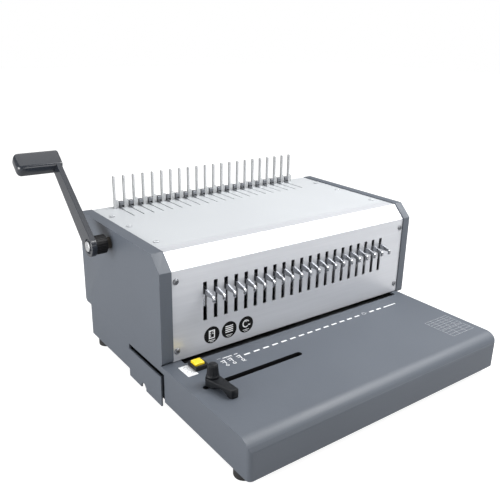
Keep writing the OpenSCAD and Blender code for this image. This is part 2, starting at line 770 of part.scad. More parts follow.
// The lever is drawn flat, along its own axis, and then tilted about the pivot
module lever_place() { place() translate([0, opener_y, opener_z]) rotate([lever_angle, 0, 0]) children(); }
module grip_2d() {
    rounded([lever_reach - grip_d / 2, -arm_w / 2], [lever_reach + grip_d / 2, arm_w / 2], grip_r);
}
module lever_arm() {
    neck = lever_reach - grip_d / 2 + 4;
    a = asin((hub_r - arm_w / 2) / neck);
    color("#70767f") lever_place() difference() {
        along_x(arm_x, arm_x + arm_t) {
            circle(hub_r);
            grip_2d();
            polygon([for (e = [[hub_r, 0, -1], [arm_w / 2, neck, -1], [arm_w / 2, neck, 1], [hub_r, 0, 1]])
                [e[1] + e[0] * sin(a), e[2] * (e[0] - slide_gap / 2) * cos(a)]]);
        }
        rod_x(arm_x + 2.5, arm_x + arm_t + 1, 0, 0, opener_r + shaft_gap);
        rod_x(arm_x - 1, arm_x + arm_t, 0, 0, 3.1);
        rod_x(arm_x - 1, arm_x + 1.5, 0, 0, 9);
    }
}
module lever_grip() { color("#70767f") lever_place() along_x(grip_x, arm_x) grip_2d(); }
module lever_collar() {
    ribs = 24;
    color("#17181a") lever_place() along_x(arm_x + arm_t, x_left - bush_out - slide_gap) difference() {
        union() {
            circle(hub_r - 2);
            for (k = [0 : ribs - 1]) rotate(k * 360 / ribs) translate([hub_r - 2.5, -0.5]) square([1, 1]);
        }
        circle(opener_r + shaft_gap);
    }
}
module lever_bolt() {
    color("#c9ccd0") lever_place() {
        rod_x(arm_x - 1.5, arm_x + 1.5, 0, 0, 6.5);
        rod_x(arm_x + 1.5, arm_x + 15, 0, 0, 2.9);
    }
}

module waste_drawer() {
    y1 = drawer_y + drawer_w;
    a = [x_left - part_gap, drawer_y + drawer_inset + part_gap * 2, z_bin];
    b = [x_left + drawer_l, y1 - drawer_inset - part_gap * 2, z_bin + bin_h];
    z0 = foot_h - drawer_hang;
    notch_y = drawer_y + drawer_w * 0.54;
    color("#70767f") place() {
        difference() {
            block([x_left - part_gap - drawer_face_t, drawer_y, z0], [x_left - part_gap, y1, z0 + drawer_h]);
            block([x_left - 5, notch_y - 6, z0 - 1], [x_left, notch_y + 6, z0 + 4]);
            rod_x(x_left - 5, x_left, notch_y, z0 + 3, 5);
        }
        difference() {
            block(a, b);
            block(a + [drawer_wall, drawer_wall, drawer_wall], b + [-drawer_wall, -drawer_wall, 1]);
        }
    }
}

// Seen from above: round boss under the knob, tapering forward; arched so that only its ends touch
module edge_guide() {
    r = knob_r + 0.6;
    tip = 4.25;
    color("#70767f") place() translate([-knob_x, -groove_y, z_deck + slide_gap]) difference() {
        linear_extrude(fence_h) {
            circle(r);
            polygon([[r - slide_gap, 0], [slide_gap - r, 0], [r + 1 - 2 * tip, -fence_l],
                [r + 2 - 2 * tip, -fence_l - 1], [r + 1, -fence_l - 1], [r + 2, -fence_l]]);
        }
        block([-2 * r, -fence_l + 5, -1], [2 * r, -r - 1, fence_h * 0.5]);
        rod_z(-1, fence_h + 1, 0, 0, stud_r + slide_gap);
    }
}
module guide_stud() {
    nut_z = z_deck - base_wall - slide_gap - nut_h;
    color("#9a9ea5") place() translate([-knob_x, -groove_y, 0]) {
        rod_z(nut_z, z_deck + fence_h + knob_h - 3, 0, 0, stud_r);
        rod_z(nut_z, z_deck, 0, 0, groove_w / 2 - slide_gap);
        block([-nut_w / 2, -nut_w / 2, nut_z], [nut_w / 2, nut_w / 2, nut_z + nut_h]);
    }
}
module guide_knob() {
    ribs = 20;
    z0 = z_deck + fence_h + 2 * slide_gap;
    top = knob_r - 1.4;
    color("#2a2c30") place() translate([-knob_x, -groove_y, z0]) difference() {
        union() {
            cylinder(h = 3, r = knob_r);
            translate([0, 0, 3]) linear_extrude(knob_h - 3) {
                circle(top);
                for (k = [0 : ribs - 1]) rotate(k * 360 / ribs) translate([top - 0.5, -0.4]) square([1, 0.8]);
            }
        }
        rod_z(-1, knob_h - 2, 0, 0, stud_r + shaft_gap);
    }
}

module button_housing() {
    color("#17181a") place() difference() {
        block([button_x, button_y, z_deck], [button_x + button_w, button_y + button_d, z_deck + button_h]);
        block([pad_x - part_gap, pad_y - part_gap, z_deck + button_travel / 2],
            [pad_x + pad_w + part_gap, pad_y + pad_d + part_gap, z_deck + button_h + 1]);
    }
}
module punch_button() {
    color("#e8c21a") place() translate([0, 0, z_deck + button_travel * 1.5 + slide_gap])
        linear_extrude(button_h - button_travel / 2)
        rounded([pad_x, pad_y], [pad_x + pad_w, pad_y + pad_d], 1.2);
}

base_cover();
base_pan();
rubber_feet();
machine_screws();
left_side_panel();
right_side_panel();
front_plate();
top_cover();
rear_panel();
left_frame();
right_frame();
die_block();
punch_guide();
motor();
control_board();
power_inlet();
comb_fingers();
shaft_bushes();
button_housing();
waste_drawer();
edge_guide();
guide_stud();
guide_knob();
punch_button();
punch_ram();
punch_pins();
eccentric_shaft();
drive_gear();
motor_pinion();
power_switch();
hook_slide();
comb_hooks();
hook_heads();
opener_shaft();
opener_pinions();
lever_arm();
lever_grip();
lever_collar();
lever_bolt();
for (i = [0 : hole_count - 1]) pull(i);
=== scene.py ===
"""Comb binding machine: a desktop punch with a lever-worked comb opener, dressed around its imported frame."""

import json
import math

import bmesh
import bpy
import numpy as np
from mathutils import Matrix, Vector


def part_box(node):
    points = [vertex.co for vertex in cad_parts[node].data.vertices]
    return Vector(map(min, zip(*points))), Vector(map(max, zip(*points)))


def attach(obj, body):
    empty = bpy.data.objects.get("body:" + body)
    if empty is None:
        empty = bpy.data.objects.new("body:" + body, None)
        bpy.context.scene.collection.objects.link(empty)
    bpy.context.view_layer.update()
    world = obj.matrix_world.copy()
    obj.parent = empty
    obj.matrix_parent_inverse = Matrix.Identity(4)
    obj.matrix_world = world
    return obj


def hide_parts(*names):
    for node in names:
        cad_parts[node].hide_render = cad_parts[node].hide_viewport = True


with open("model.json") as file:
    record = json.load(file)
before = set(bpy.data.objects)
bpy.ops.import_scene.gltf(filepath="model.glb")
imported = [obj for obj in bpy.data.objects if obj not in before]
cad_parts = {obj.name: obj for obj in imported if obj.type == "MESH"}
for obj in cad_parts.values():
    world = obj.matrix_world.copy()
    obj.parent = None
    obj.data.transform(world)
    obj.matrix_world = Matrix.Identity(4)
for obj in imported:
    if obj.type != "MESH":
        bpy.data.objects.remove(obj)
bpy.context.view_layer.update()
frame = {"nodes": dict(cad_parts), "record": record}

# ---------------------------------------------------------------- view
# The machine stands on a pale table and is seen from the front left, a little from above.
# Machine millimetres have x = 0 at the middle tab, y = 0 at the front plate and z = 0 on the table.
MIDDLE = (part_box("pull_11")[0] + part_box("pull_11")[1]) / 2
ORIGIN = np.array([MIDDLE.x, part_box("front_plate")[0].y, 0.0])
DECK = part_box("base_cover")[1].z * 1000
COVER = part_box("top_cover")[1].z * 1000

# The eye's place in machine millimetres, its heading, dip and roll in degrees, and its lens in millimetres
EYE_PLACE = (-482.35, -544.08, DECK + 356.14)
EYE_HEADING, EYE_DIP, EYE_ROLL = -36.41, 19.60, 1.14
EYE_SENSOR, EYE_LENS, EYE_NEAREST = 36.0, 44.33, 0.01
WHITE = (1, 1, 1, 1)


def row(points):
    """Machine millimetres turned into the row frame's metres."""
    return np.asarray(points, float) / 1000 + ORIGIN


def put_object(name, data):
    """Links a mesh, a lamp or a camera into the scene as an object at the origin."""
    thing = bpy.data.objects.new(name, data)
    bpy.context.collection.objects.link(thing)
    return thing


def area_light(name, place, target, size, watts):
    """A square soft box at one point that faces another, both in machine millimetres."""
    lamp = bpy.data.lights.new(name, "AREA")
    lamp.size = size
    lamp.energy = watts
    holder = put_object(name, lamp)
    holder.location = row(place)
    away = Vector(row(place)) - Vector(row(target))
    holder.rotation_euler = away.to_track_quat("Z", "Y").to_euler()


def link(tree, source, target):
    """Joins an output socket to an input socket."""
    tree.links.new(source, target)


def camera_level(tree, elsewhere, seen, target):
    """Feeds a socket one value for what the camera sees, and another for the light given to the machine."""
    path = tree.nodes.new("ShaderNodeLightPath")
    level = tree.nodes.new("ShaderNodeMapRange")
    level.inputs["To Min"].default_value = elsewhere
    level.inputs["To Max"].default_value = seen
    link(tree, path.outputs["Is Camera Ray"], level.inputs["Value"])
    link(tree, level.outputs["Result"], target)


eye = bpy.data.cameras.new("view_camera")
eye.sensor_width = EYE_SENSOR
eye.lens = EYE_LENS
eye.clip_start = EYE_NEAREST
camera = put_object("view_camera", eye)
turn = Matrix.Rotation(math.radians(EYE_HEADING), 4, "Z")
tilt = Matrix.Rotation(math.radians(90 - EYE_DIP), 4, "X")
roll = Matrix.Rotation(math.radians(EYE_ROLL), 4, "Z")
camera.matrix_world = Matrix.Translation(Vector(row(EYE_PLACE))) @ turn @ tilt @ roll
bpy.context.scene.camera = camera

area_light("key_light", (560, -275, 980), (60, 0, 80), 0.8, 17)
area_light("top_light", (-250, 450, 1500), (0, 60, 100), 1.6, 9)
area_light("left_light", (-1100, 100, 60), (-150, 80, 60), 0.9, 17)
area_light("front_light", (500, -1400, 250), (150, 0, 90), 0.9, 5)

# The backdrop looks white, and lights the machine with less than half of that
BACKDROP_LIGHT, BACKDROP_SEEN = 0.42, 1.0
world = bpy.data.worlds.new("studio")
bpy.context.scene.world = world
world.use_nodes = True
backdrop = world.node_tree.nodes["Background"]
backdrop.inputs["Color"].default_value = WHITE
camera_level(world.node_tree, BACKDROP_LIGHT, BACKDROP_SEEN, backdrop.inputs["Strength"])
bpy.context.scene.view_settings.view_transform = "Standard"

FLOOR_HALF = 6.0
floor_mesh = bpy.data.meshes.new("table_top")
floor_mesh.from_pydata([(-FLOOR_HALF, -FLOOR_HALF, 0), (FLOOR_HALF, -FLOOR_HALF, 0),
                        (FLOOR_HALF, FLOOR_HALF, 0), (-FLOOR_HALF, FLOOR_HALF, 0)], [], [(0, 1, 2, 3)])
table_top = put_object("table_top", floor_mesh)


# ---------------------------------------------------------------- finishes
# Paint, plastic and metal share one grain, which breaks up colour, gloss and height. Where its lay is
# stretched along one axis it reads as brushing.
FINE_SHARE, COARSE_SHARE, FINE_DETAIL, COARSE_DETAIL = 0.6, 0.4, 3, 4
SPREAD_FROM, SPREAD_TO = 0.35, 0.65
COAT_ROUGHNESS = 0.12
# Where a mix node keeps its pair of numbers with their result, and its pair of colours with theirs
NUMBER_A, NUMBER_B, NUMBER_OUT = 2, 3, 0
COLOUR_A, COLOUR_B, COLOUR_OUT = 6, 7, 2


def new_group(name, sockets_in, sockets_out):
    """A shader node group with the named inputs (name, kind, value) and outputs (name, kind)."""
    group = bpy.data.node_groups.new(name, "ShaderNodeTree")
    for label, kind, value in sockets_in:
        socket = group.interface.new_socket(name=label, in_out="INPUT", socket_type=kind)
        socket.default_value = value
    for label, kind in sockets_out:
        group.interface.new_socket(name=label, in_out="OUTPUT", socket_type=kind)
    return group, group.nodes.new("NodeGroupInput"), group.nodes.new("NodeGroupOutput")


def grain_group():
    """Speckled grain: fine noise sets height and gloss, coarse noise drifts the colour a little."""
    group, gin, gout = new_group(
        "surface_grain",
        [("Fine", "NodeSocketFloat", 1500.0), ("Coarse", "NodeSocketFloat", 12.0),
         ("Dark", "NodeSocketColor", (0.1, 0.1, 0.1, 1)), ("Light", "NodeSocketColor", (0.2, 0.2, 0.2, 1)),
         ("Rough Low", "NodeSocketFloat", 0.4), ("Rough High", "NodeSocketFloat", 0.6),
         ("Lay", "NodeSocketVector", (1.0, 1.0, 1.0))],
        [("Color", "NodeSocketColor"), ("Roughness", "NodeSocketFloat"), ("Height", "NodeSocketFloat")])
    nodes = group.nodes
    place = nodes.new("ShaderNodeTexCoord")
    stretch = nodes.new("ShaderNodeVectorMath")
    stretch.operation = "MULTIPLY"
    link(group, place.outputs["Object"], stretch.inputs[0])
    link(group, gin.outputs["Lay"], stretch.inputs[1])
    fine = nodes.new("ShaderNodeTexNoise")
    fine.inputs["Detail"].default_value = FINE_DETAIL
    link(group, stretch.outputs[0], fine.inputs["Vector"])
    link(group, gin.outputs["Fine"], fine.inputs["Scale"])
    coarse = nodes.new("ShaderNodeTexNoise")
    coarse.inputs["Detail"].default_value = COARSE_DETAIL
    link(group, place.outputs["Object"], coarse.inputs["Vector"])
    link(group, gin.outputs["Coarse"], coarse.inputs["Scale"])
    both = nodes.new("ShaderNodeMath")
    both.operation = "MULTIPLY_ADD"
    both.inputs[1].default_value = FINE_SHARE
    link(group, fine.outputs["Fac"], both.inputs[0])
    drift = nodes.new("ShaderNodeMath")
    drift.operation = "MULTIPLY"
    drift.inputs[1].default_value = COARSE_SHARE
    link(group, coarse.outputs["Fac"], drift.inputs[0])
    link(group, drift.outputs[0], both.inputs[2])
    spread = nodes.new("ShaderNodeMapRange")
    spread.inputs["From Min"].default_value = SPREAD_FROM
    spread.inputs["From Max"].default_value = SPREAD_TO
    link(group, both.outputs[0], spread.inputs["Value"])
    tint = nodes.new("ShaderNodeMix")
    tint.data_type = "RGBA"
    link(group, spread.outputs["Result"], tint.inputs["Factor"])
    link(group, gin.outputs["Dark"], tint.inputs[COLOUR_A])
    link(group, gin.outputs["Light"], tint.inputs[COLOUR_B])
    gloss = nodes.new("ShaderNodeMix")
    link(group, spread.outputs["Result"], gloss.inputs["Factor"])
    link(group, gin.outputs["Rough Low"], gloss.inputs[NUMBER_A])
    link(group, gin.outputs["Rough High"], gloss.inputs[NUMBER_B])
    link(group, tint.outputs[COLOUR_OUT], gout.inputs["Color"])
    link(group, gloss.outputs[NUMBER_OUT], gout.inputs["Roughness"])
    link(group, fine.outputs["Fac"], gout.inputs["Height"])
    return group


GRAIN = grain_group()


def finish(name, dark, light, rough=(0.4, 0.6), fine=1500.0, coarse=12.0, lay=(1, 1, 1), depth=0.00004,
           metallic=0.0, coat=0.0, specular=0.5):
    """A material whose colour, gloss and relief come from the grain; a stretched lay gives brushed metal."""
    material = bpy.data.materials.new(name)
    material.use_nodes = True
    tree = material.node_tree
    shader = tree.nodes["Principled BSDF"]
    grain = tree.nodes.new("ShaderNodeGroup")
    grain.node_tree = GRAIN
    for label, value in (("Fine", fine), ("Coarse", coarse), ("Dark", (*dark, 1)), ("Light", (*light, 1)),
                         ("Rough Low", rough[0]), ("Rough High", rough[1]), ("Lay", lay)):
        grain.inputs[label].default_value = value
    relief = tree.nodes.new("ShaderNodeBump")
    relief.inputs["Distance"].default_value = depth
    link(tree, grain.outputs["Height"], relief.inputs["Height"])
    link(tree, grain.outputs["Color"], shader.inputs["Base Color"])
    link(tree, grain.outputs["Roughness"], shader.inputs["Roughness"])
    link(tree, relief.outputs["Normal"], shader.inputs["Normal"])
    shader.inputs["Metallic"].default_value = metallic
    shader.inputs["Coat Weight"].default_value = coat
    shader.inputs["Coat Roughness"].default_value = COAT_ROUGHNESS
    shader.inputs["Specular IOR Level"].default_value = specular
    return material


TABLE_LIGHT, TABLE_SEEN = 0.25, 0.9
pale_table = finish("pale_table", (0.30, 0.30, 0.30), (0.33, 0.33, 0.33), (0.8, 0.9), 300, 3)
table_shader = pale_table.node_tree.nodes["Principled BSDF"]
table_shader.inputs["Emission Color"].default_value = WHITE
camera_level(pale_table.node_tree, TABLE_LIGHT, TABLE_SEEN, table_shader.inputs["Emission Strength"])
table_top.data.materials.append(pale_table)

# ---------------------------------------------------------------- working on meshes
# Corners closer than WELD metres are one corner. The angles are in degrees: edges that turn by more than
# them stay crisp, and faces that lie within FLAT_WITHIN of one plane are one face.
WELD, FLAT_WITHIN = 1e-6, 0.5
SOFT_ANGLE, CUT_ANGLE, HEAD_ANGLE = 35, 40, 50


def rework(mesh, change):
    """Runs one change on a mesh."""
    shape = bmesh.new()
    shape.from_mesh(mesh)
    change(shape)
    shape.to_mesh(mesh)
    shape.free()


def weld(shape):
    """Joins the corners that lie on one another."""
    bmesh.ops.remove_doubles(shape, verts=shape.verts, dist=WELD)


def weld_and_merge(shape):
    """Joins the corners that lie on one another, then the faces that lie in one plane."""
    weld(shape)
    bmesh.ops.dissolve_limit(shape, angle_limit=math.radians(FLAT_WITHIN), verts=shape.verts,
                             edges=shape.edges)


def face_outwards(shape):
    """Turns the front of every face to the outside."""
    bmesh.ops.recalc_face_normals(shape, faces=shape.faces)


def shade(mesh, crisp=None):
    """Smooth shading, with edges that turn by more than the crisp angle kept sharp."""
    mesh.polygons.foreach_set("use_smooth", np.ones(len(mesh.polygons), bool))
    if crisp is not None:
        mesh.set_sharp_from_angle(angle=math.radians(crisp))


def round_edges(piece, width, segments=2, angle=CUT_ANGLE):
    """A bevel on the piece's sharp edges, its width in millimetres."""
    bevel = piece.modifiers.new("rounded_edges", "BEVEL")
    bevel.width = width / 1000
    bevel.segments = segments
    bevel.limit_method = "ANGLE"
    bevel.angle_limit = math.radians(angle)
    bevel.harden_normals = True


def soften(name, node, body, material, width, segments=2, merge=True):
    """Copy of a CAD node with corners welded and edges rounded, as pressing or moulding leaves them."""
    mesh = frame["nodes"][node].data.copy()
    mesh.name = name
    mesh.materials.clear()
    rework(mesh, weld_and_merge if merge else weld)
    mesh.materials.append(material)
    piece = put_object(name, mesh)
    shade(mesh, SOFT_ANGLE)
    round_edges(piece, width, segments, SOFT_ANGLE)
    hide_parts(node)
    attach(piece, body)
    return piece


# ---------------------------------------------------------------- base and body
# Folded steel in blue-grey textured paint: the base housing, the two side panels and the rear panel,
# with a pale silver cover on top and a brushed silver plate in front.
HOUSE = "housing"
BLUE_GREY = ((0.078, 0.090, 0.110), (0.094, 0.108, 0.130))
GLOSSY_GREY = ((0.010, 0.013, 0.020), (0.016, 0.020, 0.028))
body_paint = finish("body_paint", *BLUE_GREY, (0.42, 0.55), 1400, 9, depth=0.00005)
soften("base_housing", "base_cover", HOUSE, body_paint, 1.6)
soften("left_panel", "left_side_panel", HOUSE, body_paint, 2.4, segments=3, merge=False)
soften("right_panel", "right_side_panel", HOUSE, body_paint, 2.4, segments=3)
cover_paint = finish("cover_paint", (0.46, 0.48, 0.50), (0.50, 0.52, 0.54), (0.28, 0.36), 900, 8,
                     depth=0.00001)
plate_metal = finish("plate_metal", (0.60, 0.615, 0.65), (0.65, 0.665, 0.70), (0.28, 0.36), 260, 4,
                     (0.04, 1, 1), 0.000001, metallic=0.4)

# ---------------------------------------------------------------- carried-over pieces
# One finish for each material slot of the record
PLAIN = {
    "body_paint": body_paint,
    "pale_cover": cover_paint,
    "brushed_plate": plate_metal,
    "dark_steel": finish("dark_steel", (0.05, 0.053, 0.06), (0.075, 0.08, 0.09), (0.5, 0.6), 900),
    "foot_rubber": finish("foot_rubber", (0.012, 0.012, 0.012), (0.022, 0.022, 0.022), (0.7, 0.85), 1200),
    "bright_screw": finish("bright_screw", (0.66, 0.67, 0.68), (0.78, 0.79, 0.80), (0.22, 0.34), 2500,
                           metallic=1),
    "frame_steel": finish("frame_steel", (0.30, 0.31, 0.33), (0.42, 0.43, 0.45), (0.3, 0.45), 900, 20,
                          (1, 0.1, 1), metallic=1),
    "tool_steel": finish("tool_steel", (0.16, 0.165, 0.17), (0.23, 0.235, 0.24), (0.25, 0.4), 900, 20,
                         (0.05, 1, 1), metallic=1),
    "motor_paint": finish("motor_paint", (0.03, 0.031, 0.034), (0.05, 0.052, 0.056), (0.3, 0.5), 800),
    "board_green": finish("board_green", (0.015, 0.10, 0.04), (0.03, 0.16, 0.07), (0.2, 0.35), 600),
    "black_plastic": finish("black_plastic", (0.006, 0.006, 0.007), (0.012, 0.012, 0.013), (0.35, 0.5), 1600,
                            specular=0.25),
    "bright_steel": finish("bright_steel", (0.56, 0.57, 0.59), (0.74, 0.75, 0.77), (0.2, 0.34), 1500, 30,
                           (1, 1, 0.1), metallic=1),
    # Near black rather than brass: painted shade, for the shaft bushes sit in shadow behind the lever's collar
    "bush_brass": finish("bush_brass", (0.03, 0.026, 0.02), (0.05, 0.042, 0.03), (0.35, 0.55), 1800),
    "drawer_plastic": finish("drawer_plastic", *BLUE_GREY, (0.4, 0.55), 1400),
    "guide_paint": finish("guide_paint", (0.005, 0.006, 0.008), (0.010, 0.011, 0.013), (0.36, 0.46), 1400,
                          depth=0.00001, specular=0.22),
    "knob_plastic": finish("knob_plastic", (0.005, 0.006, 0.008), (0.010, 0.011, 0.013), (0.34, 0.44), 1600,
                           depth=0.00001, specular=0.22),
    "yellow_plastic": finish("yellow_plastic", (0.80, 0.56, 0.01), (0.88, 0.66, 0.02), (0.25, 0.4), 700),
    "gear_steel": finish("gear_steel", (0.30, 0.29, 0.25), (0.40, 0.39, 0.34), (0.3, 0.5), 900, metallic=1),
    "red_plastic": finish("red_plastic", (0.40, 0.01, 0.01), (0.55, 0.02, 0.02), (0.2, 0.35), 900),
    "lever_paint": finish("lever_paint", *GLOSSY_GREY, (0.2, 0.25), 350, coat=0.3, depth=0.000001),
    "grip_plastic": finish("grip_plastic", *GLOSSY_GREY, (0.12, 0.16), 350, coat=0.5, depth=0.000001),
    "pull_steel": finish("pull_steel", (0.34, 0.35, 0.37), (0.44, 0.45, 0.47), (0.16, 0.26), 1000, 30,
                         (1, 0.1, 1), 0.000003, metallic=1),
}
finger_steel = finish("finger_steel", (0.47, 0.48, 0.49), (0.52, 0.53, 0.54), (0.24, 0.32), 400, 30,
                      (1, 1, 0.1), 0.000001, metallic=0.4)
slot_of = {entry["node"]: entry["material_slot"] for entry in frame["record"]["subparts"]}
for node, thing in frame["nodes"].items():
    if slot_of[node] in PLAIN:
        thing.data.materials.clear()
        thing.data.materials.append(PLAIN[slot_of[node]])

# ---------------------------------------------------------------- moulded and pressed pieces, edges broken
SOFTENED = [
    ("drawer", "waste_drawer", "drawer", 0.9), ("lever_bar", "lever_arm", "lever", 1.6),
    ("lever_bolt_head", "lever_bolt", "lever", 0.8), ("lever_ribbed_collar", "lever_collar", "lever", 0.3),
    ("fingers", "comb_fingers", HOUSE, 0.5), ("feet", "rubber_feet", HOUSE, 1.0),
    ("inlet", "power_inlet", HOUSE, 0.5), ("rocker_cap", "power_switch", "rocker", 0.6),
    ("button_frame", "button_housing", HOUSE, 0.5), ("button_pad", "punch_button", "button", 0.8),
    ("bushes", "shaft_bushes", HOUSE, 0.3), ("drive_motor", "motor", HOUSE, 1.5),
]
for name, node, body, width in SOFTENED:
    look = finger_steel if node == "comb_fingers" else PLAIN[slot_of[node]]
    soften(name, node, body, look, width)


# ---------------------------------------------------------------- lever grip
# A glossy moulded handle with rounded edges and a domed outer end, screwed to the lever's arm.
bolt_low, bolt_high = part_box("lever_bolt")
PIVOT = np.array([(bolt_low.y + bolt_high.y) / 2 - ORIGIN[1], (bolt_low.z + bolt_high.z) / 2]) * 1000
LEVER_ANGLE = math.radians(39.5)
REACH, GRIP_LONG, GRIP_HIGH, GRIP_PAST_ARM = 132.0, 26.3, 18.3, 2.6
GRIP_EDGE, EDGE_LOST, EDGE_LEAST = 5.0, 0.5, 0.8
INNER_ROUND, OUTER_ROUND, ROUND_STEPS, PLAIN_STEPS = 2.5, 6.0, 9, 12
GRIP_X0 = (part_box("lever_arm")[1].x - ORIGIN[0]) * 1000 + GRIP_PAST_ARM
GRIP_X1 = (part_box("lever_grip")[0].x - ORIGIN[0]) * 1000


def skin(name, grid, material):
    """A closed surface from a grid of points (stations, points round each ring, xyz), with flat ends."""
    stations, around, _ = grid.shape
    index = np.arange(stations * around).reshape(stations, around)
    nxt = np.roll(index, -1, axis=1)
    quads = np.stack([index[:-1], nxt[:-1], nxt[1:], index[1:]], -1).reshape(-1, 4).tolist()
    quads += [index[0, ::-1].tolist(), index[-1].tolist()]
    mesh = bpy.data.meshes.new(name)
    mesh.from_pydata(row(grid.reshape(-1, 3)).tolist(), [], quads)
    mesh.validate()
    rework(mesh, face_outwards)
    shade(mesh)
    mesh.materials.append(material)
    return put_object(name, mesh)


def rounded_ring(half_a, half_b, edge, count=48):
    """Rounded rectangle as an array: a circle of the edge's radius pushed out to the four corners."""
    t = (np.arange(count) + 0.5) / count * 2 * np.pi
    c, s = np.cos(t), np.sin(t)
    return np.stack([np.sign(c) * (half_a - edge) + edge * c, np.sign(s) * (half_b - edge) + edge * s], -1)


def lever_points(x, along, across):
    """Points given along and across the lever, at a depth x, turned to its resting angle about the pivot."""
    y = PIVOT[0] + along * math.cos(LEVER_ANGLE) - across * math.sin(LEVER_ANGLE)
    z = PIVOT[1] + along * math.sin(LEVER_ANGLE) + across * math.cos(LEVER_ANGLE)
    return np.stack([np.broadcast_to(x, y.shape), y, z], -1)


turn_in = np.linspace(0, np.pi / 2, ROUND_STEPS)
depths = np.concatenate([GRIP_X0 - INNER_ROUND + INNER_ROUND * np.cos(turn_in[:-1]),
                         np.linspace(GRIP_X0 - INNER_ROUND, GRIP_X1 + OUTER_ROUND, PLAIN_STEPS),
                         GRIP_X1 + OUTER_ROUND - OUTER_ROUND * np.sin(turn_in[1:])])
shrink = np.concatenate([INNER_ROUND * (1 - np.sin(turn_in[:-1])), np.zeros(PLAIN_STEPS),
                         OUTER_ROUND * (1 - np.cos(turn_in[1:]))])
grip_rings = []
for depth_x, inset in zip(depths, shrink):
    section = rounded_ring(GRIP_LONG / 2 - inset, GRIP_HIGH / 2 - inset,
                           max(GRIP_EDGE - inset * EDGE_LOST, EDGE_LEAST))
    grip_rings.append(lever_points(depth_x, REACH + section[:, 0], section[:, 1]))
grip = skin("grip", np.array(grip_rings), PLAIN["grip_plastic"])
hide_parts("lever_grip")
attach(grip, "lever")

# ---------------------------------------------------------------- clamping knob
# Dark moulded knob with a plain skirt, sixteen shallow flutes and a softly domed top, screwed onto the stud.
KNOB_X, KNOB_Y = -174.0, -64.0
KNOB_FOOT, KNOB_TOP, KNOB_TALL, KNOB_SEAT, KNOB_DOME = 7.2, 5.7, 15.5, 10.4, 1.6
FLUTES, FLUTE_DEEP = 16, 0.45
# The skirt's lower chamfer, its upright band and the step in to the flutes, as heights above the seat
SKIRT = [0, 0.4, 2.2, 2.6]
knob_base = DECK + KNOB_SEAT
around = np.linspace(0, 2 * np.pi, 128, endpoint=False)
rise = np.concatenate([SKIRT, np.linspace(3.2, KNOB_TALL - KNOB_DOME, 14),
                       KNOB_TALL - KNOB_DOME + KNOB_DOME * np.sin(np.linspace(0.2, np.pi / 2, 6))])
side = np.interp(rise, [*SKIRT, 3.2, KNOB_TALL - KNOB_DOME, KNOB_TALL],
                 [KNOB_FOOT - 0.4, KNOB_FOOT, KNOB_FOOT, KNOB_FOOT - 0.4, KNOB_FOOT - 0.6,
                  KNOB_TOP, KNOB_TOP - 1.4])
flute = np.where((rise > 3.0) & (rise < KNOB_TALL - 0.6), FLUTE_DEEP, 0.0)
radius = side[:, None] - flute[:, None] * (0.5 + 0.5 * np.cos(FLUTES * around)) ** 2
knob_grid = np.stack([KNOB_X + radius * np.cos(around), KNOB_Y + radius * np.sin(around),
                      np.broadcast_to((knob_base + rise)[:, None], radius.shape)], -1)
knob = skin("fluted_knob", knob_grid, PLAIN["knob_plastic"])
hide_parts("guide_knob")
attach(knob, "knob")

# ---------------------------------------------------------------- paper guide
# Black cast arm: a round boss under the knob, a taper towards the front, arched so that only its ends bear.
ARM_LONG, ARM_TALL, ARM_TIP, ARM_SWAY, ARM_EDGE, ARM_CLEAR = 34.0, 10.0, 0.7, 5.2, 0.9, 0.2
BOSS_R, RING_POINTS = 8.0, 32
ARCH_HIGH, ARCH_FROM, ARCH_SHORTER, ARCH_POWER = 5.2, 7.5, 12.5, 0.7
step = np.concatenate([-BOSS_R * np.cos(np.linspace(0.15, np.pi / 2, 10)),
                       np.linspace(1.5, ARM_LONG - 1, 24), [ARM_LONG, ARM_LONG + ARM_TIP]])
half = np.where(step < 0, np.sqrt(np.maximum(BOSS_R ** 2 - step ** 2, 0.5)),
                np.interp(step, [0, ARM_LONG - 1, ARM_LONG, ARM_LONG + ARM_TIP], [7.8, 4.5, 4.3, 3.7]))
sway = np.interp(step, [-BOSS_R, 0, ARM_LONG + 1], [0, 0, ARM_SWAY])
arch_turn = np.clip((step - ARCH_FROM) / (ARM_LONG - ARCH_SHORTER), 0, 1) * np.pi
arch = ARCH_HIGH * np.clip(np.sin(arch_turn), 0, 1) ** ARCH_POWER
floor_z = DECK + ARM_CLEAR
arm_rings = []
for s, h, across, lift in zip(step, half, sway, arch):
    section = rounded_ring(h, (ARM_TALL - lift) / 2, ARM_EDGE, RING_POINTS)
    arm_rings.append(np.stack([KNOB_X + across + section[:, 0], np.full(RING_POINTS, KNOB_Y - s),
                               floor_z + lift + (ARM_TALL - lift) / 2 + section[:, 1]], -1))
guide = skin("paper_guide", np.array(arm_rings), PLAIN["guide_paint"])
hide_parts("edge_guide")
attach(guide, "guide")

# ---------------------------------------------------------------- painted shade lining the slot
# A black film a hair inside the deck's slot walls, below its rim: painted shade in the slot, a thin upright
# band that follows the slot's outline.
SLOT_HALF, SLOT_FROM, SLOT_TO, ARC_POINTS = 4.0, -174.0, -54.0, 24
STRIP_THICK, STRIP_DEEP, STRIP_SUNK, STRIP_OFF = 0.1, 8.0, 0.15, 0.02
strip_round = 2 * ARC_POINTS
turn_round = np.linspace(-np.pi / 2, np.pi / 2, ARC_POINTS)
half_round = np.stack([np.cos(turn_round), np.sin(turn_round)], -1)
outline = np.concatenate([half_round, -half_round])
centres = np.where(np.arange(strip_round) < ARC_POINTS, SLOT_TO, SLOT_FROM)
strip = np.stack([np.stack([centres + (SLOT_HALF - inset) * outline[:, 0],
                            KNOB_Y + (SLOT_HALF - inset) * outline[:, 1],
                            np.full(strip_round, DECK - deep)], -1)
                  for inset, deep in ((STRIP_OFF, STRIP_SUNK), (STRIP_OFF, STRIP_DEEP),
                                      (STRIP_OFF + STRIP_THICK, STRIP_DEEP),
                                      (STRIP_OFF + STRIP_THICK, STRIP_SUNK))])
corner, along = np.meshgrid(np.arange(4), np.arange(strip_round), indexing="ij")
